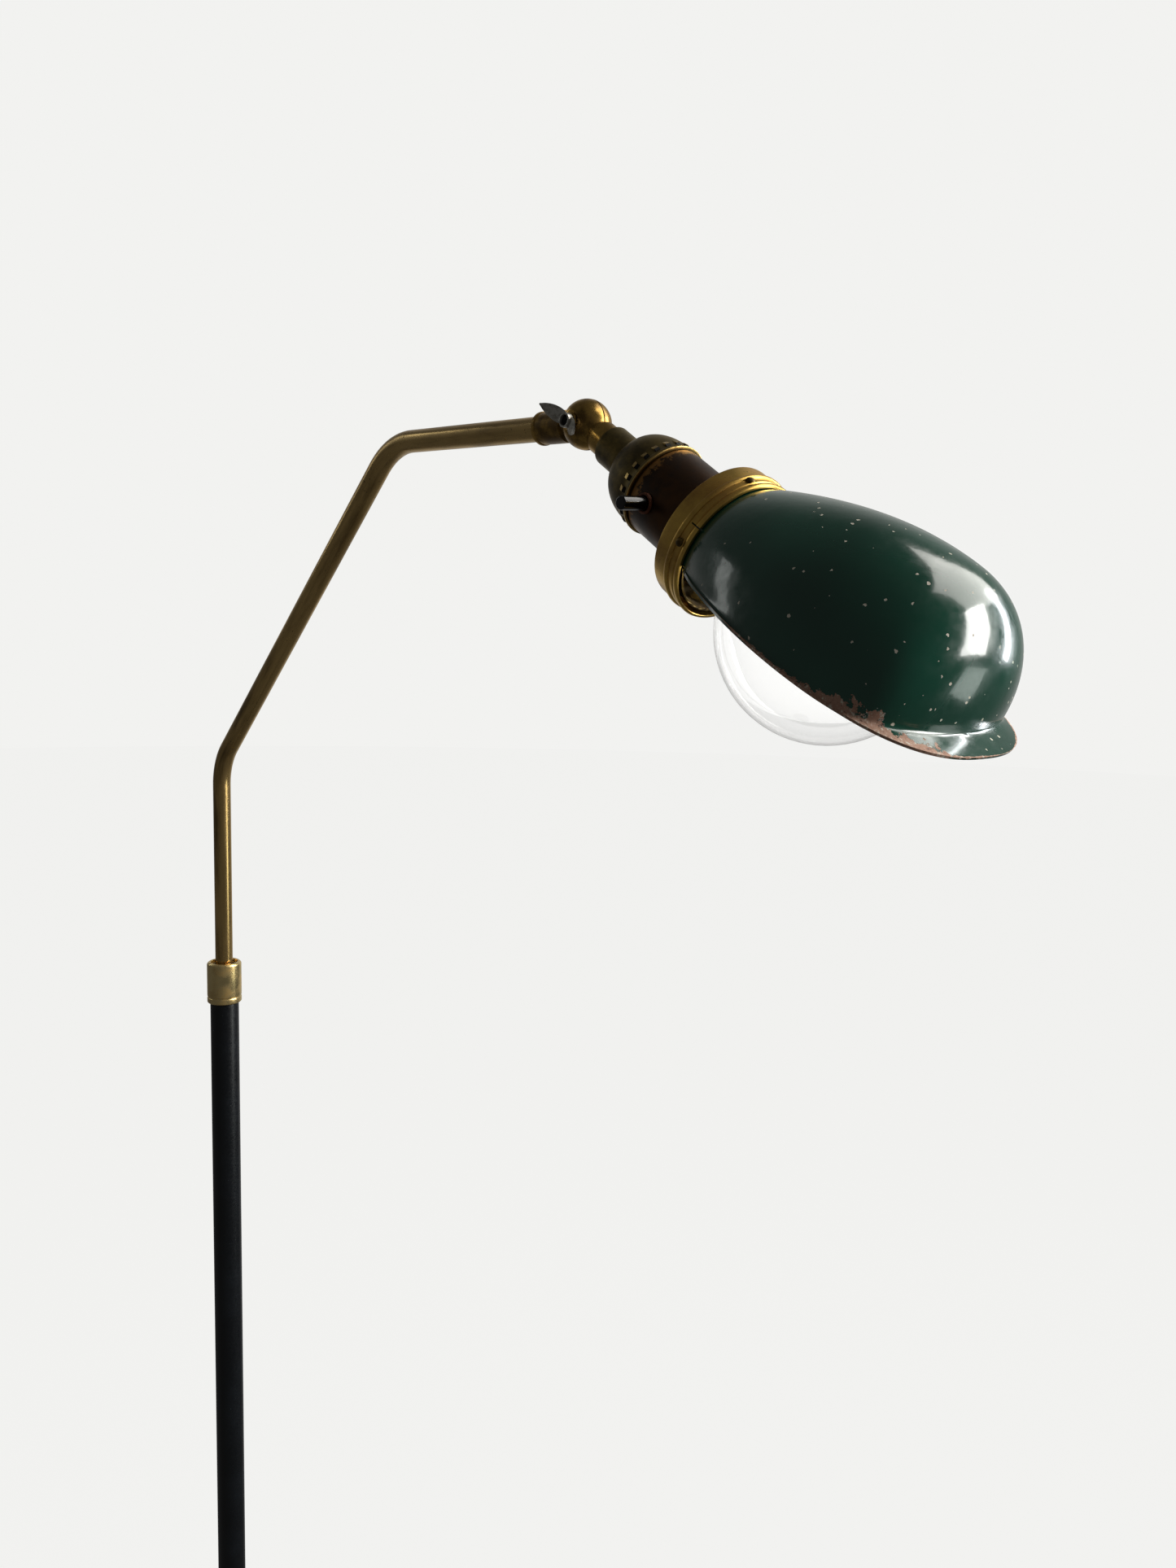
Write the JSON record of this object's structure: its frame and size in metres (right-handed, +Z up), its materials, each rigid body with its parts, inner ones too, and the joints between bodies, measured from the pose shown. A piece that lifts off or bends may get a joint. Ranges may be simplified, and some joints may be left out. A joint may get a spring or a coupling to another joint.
{
  "type": "adjustable arm floor lamp",
  "caption": "Floor lamp: bent brass arm slides and turns in a black pole and carries a ball knuckle, a bulb socket with a push switch and a swivelling half shade",
  "frame": {"origin": "centre of the foot's underside", "axes": "+Z up along the pole, +X the way the arm reaches at rest, thumb screw and switch rod on the -Y side"},
  "size_m": [0.5955, 0.254, 1.3603],
  "materials": {
    "black_enamel": "satin black enamel",
    "felt": "felt",
    "rubber": "matt",
    "bright_brass": "worn bright brass",
    "aged_brass": "darkened antique brass",
    "steel": "dull nickel plate",
    "nylon": "moulded",
    "fibre": "vulcanised fibre",
    "porcelain": "glazed",
    "bakelite": "gloss black",
    "green_enamel": "chipped gloss green enamel",
    "clear_glass": "clear",
    "solder": "solder",
    "foot_iron": "black enamel on cast iron",
    "shell_brass": "brown patina"
  },
  "bodies": {
    "stand": {"base_casting": "foot_iron", "base_pad": "felt", "lead_bushing": "rubber", "pole_tube": "black_enamel", "pole_foot_trim": "aged_brass", "pole_stud": "steel", "pole_washer": "steel", "pole_nut": "steel", "pole_collar": "bright_brass", "collar_set_screw": "steel", "friction_bush": "nylon"},
    "arm_slider": {"arm_guide_bush": "nylon"},
    "arm": {"arm_tube": "aged_brass", "knuckle_arm_half": "aged_brass"},
    "head": {"knuckle_head_half": "aged_brass", "knuckle_washer": "fibre", "socket_cap": "aged_brass", "cap_set_screw": "steel", "cap_lock_nut": "steel", "socket_shell": "shell_brass", "insulating_liner": "fibre", "socket_body": "porcelain", "screw_shell": "bright_brass", "centre_contact": "bright_brass", "terminal_screw_lower": "steel", "terminal_screw_upper": "steel", "switch_bush_front": "fibre", "switch_bush_back": "fibre", "shade_seat": "bright_brass", "seat_washer": "fibre", "bulb_glass": "clear_glass", "bulb_cap": "bright_brass", "bulb_insulator": "bakelite", "bulb_contact": "solder", "bulb_stem": "clear_glass", "bulb_filament": "solder"},
    "thumb": {"thumb_screw": "steel"},
    "switch": {"switch_rod": "bakelite"},
    "shade": {"shade_holder_ring": "bright_brass", "shade_collar": "bright_brass", "shade_rivet_1": "bright_brass", "shade_rivet_2": "bright_brass", "shade_rivet_3": "bright_brass", "shade_shell": "green_enamel"}
  },
  "joints": [
    {"name": "arm_height", "type": "slide", "parent": "stand", "child": "arm_slider", "axis": [0, 0, 1], "range_m": [-0.085, 0.15]},
    {"name": "arm_swivel", "type": "hinge", "parent": "arm_slider", "child": "arm", "pos_m": [0, 0, 1.08], "axis": [0, 0, 1], "range_deg": [-175, 175]},
    {"name": "head_tilt", "type": "hinge", "parent": "arm", "child": "head", "pos_m": [0.29677, 0, 1.34958], "axis": [0, 1, 0], "range_deg": [-125, 72]},
    {"name": "thumb_screw_turn", "type": "hinge", "parent": "arm", "child": "thumb", "pos_m": [0.29677, 0, 1.34958], "axis": [0, -1, 0], "range_deg": [-180, 180]},
    {"name": "switch_push", "type": "slide", "parent": "head", "child": "switch", "axis": [-0.053, -0.9956, -0.0777], "range_m": [-0.008, 0]},
    {"name": "shade_swivel", "type": "hinge", "parent": "head", "child": "shade", "pos_m": [0.29677, 0, 1.34958], "axis": [0.8261, 0, -0.5635], "continuous": true}
  ]
}
